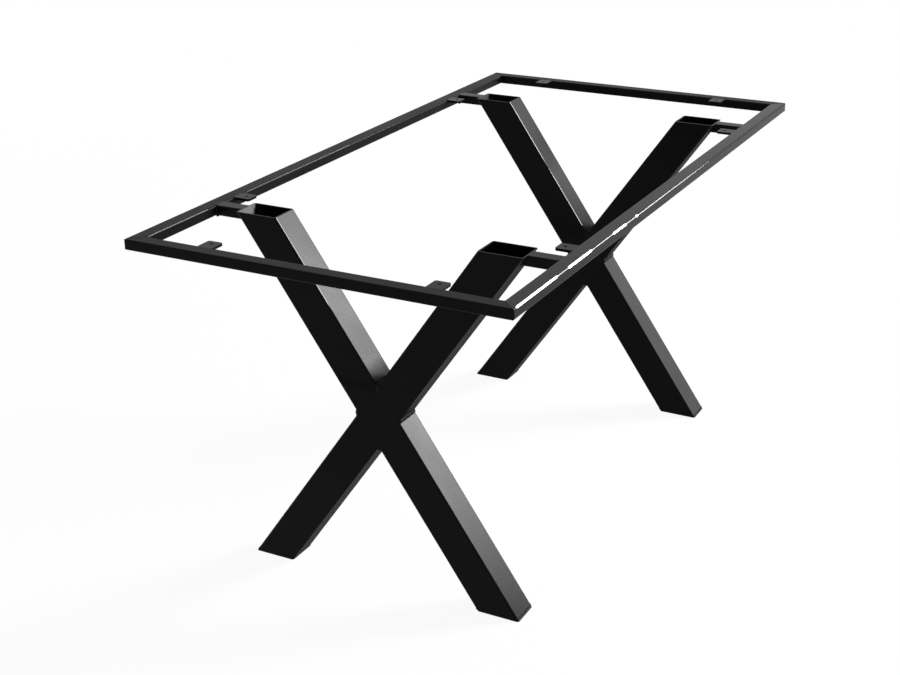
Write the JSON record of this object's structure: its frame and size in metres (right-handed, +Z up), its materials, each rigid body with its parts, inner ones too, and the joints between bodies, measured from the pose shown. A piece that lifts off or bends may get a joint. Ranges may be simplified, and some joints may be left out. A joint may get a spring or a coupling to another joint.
{
  "type": "metal table base",
  "caption": "Welded table base: a flat rectangular tube frame with fixing tabs, carried by crossed legs of rectangular tube.",
  "frame": {"origin": "middle of the footprint, on the floor under the feet", "axes": "+X along the long rails towards the back leg set, +Y along the short rails towards the left long rail, +Z up"},
  "size_m": [1.5, 0.76, 0.72],
  "materials": {
    "painted_steel": "satin black powder coat on welded steel tube"
  },
  "bodies": {
    "root": {"long_rail_left": "painted_steel", "long_rail_right": "painted_steel", "short_rail_front": "painted_steel", "short_rail_back": "painted_steel", "stub_front_left": "painted_steel", "stub_front_right": "painted_steel", "stub_back_left": "painted_steel", "stub_back_right": "painted_steel", "tab_long_front_left": "painted_steel", "tab_long_front_right": "painted_steel", "tab_long_back_left": "painted_steel", "tab_long_back_right": "painted_steel", "tab_short_front_left": "painted_steel", "tab_short_front_right": "painted_steel", "tab_short_back_left": "painted_steel", "tab_short_back_right": "painted_steel", "leg_through_front": "painted_steel", "leg_upper_half_front": "painted_steel", "leg_lower_half_front": "painted_steel", "leg_through_back": "painted_steel", "leg_upper_half_back": "painted_steel", "leg_lower_half_back": "painted_steel", "foot_plate_front_left": "painted_steel", "foot_plate_front_right": "painted_steel", "foot_plate_back_left": "painted_steel", "foot_plate_back_right": "painted_steel"}
  },
  "joints": []
}
